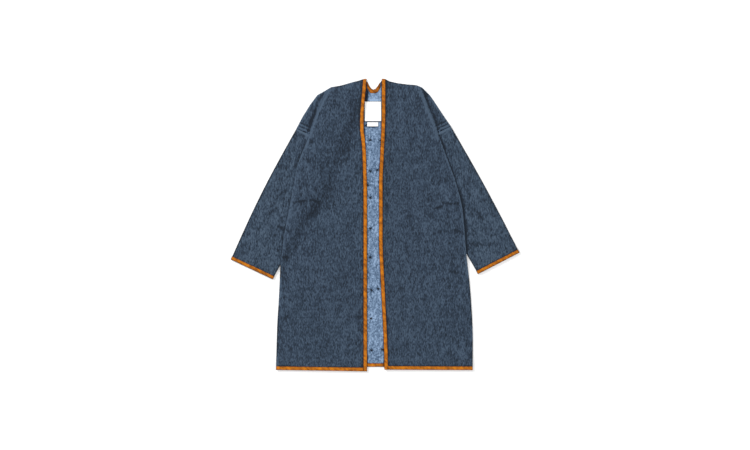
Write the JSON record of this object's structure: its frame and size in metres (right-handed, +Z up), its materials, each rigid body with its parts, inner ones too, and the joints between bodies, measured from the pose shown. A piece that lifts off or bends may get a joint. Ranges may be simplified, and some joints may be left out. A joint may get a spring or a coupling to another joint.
{
  "type": "kimono coat",
  "caption": "Open-front kimono coat with drop shoulders and straight sleeves, every edge bound with tape, laid flat with its front up.",
  "frame": {"origin": "the plane that the coat lies on, at the middle of its outline", "axes": "+Y from the hem to the neck, +X to the wearer's left sleeve (the viewer's right), +Z up out of the coat's front"},
  "size_m": [1.0411, 1.0545, 0.0143],
  "materials": {
    "outer": "washed indigo cotton, finely crinkled, matt",
    "lining": "light blue crinkled cotton, matt",
    "tape": "orange-tan bias-cut twill tape, soft sheen",
    "label": "white woven satin tape, plain"
  },
  "bodies": {
    "root": {"back": "outer", "back_lining": "lining", "binding_neck": "tape", "binding_hem_back": "tape", "front_left": "outer", "sleeve_left": "outer", "binding_front_left": "tape", "binding_hem_left": "tape", "binding_cuff_left": "tape", "front_right": "outer", "sleeve_right": "outer", "binding_front_right": "tape", "binding_hem_right": "tape", "binding_cuff_right": "tape", "label_main": "label", "label_small": "label"}
  },
  "joints": []
}
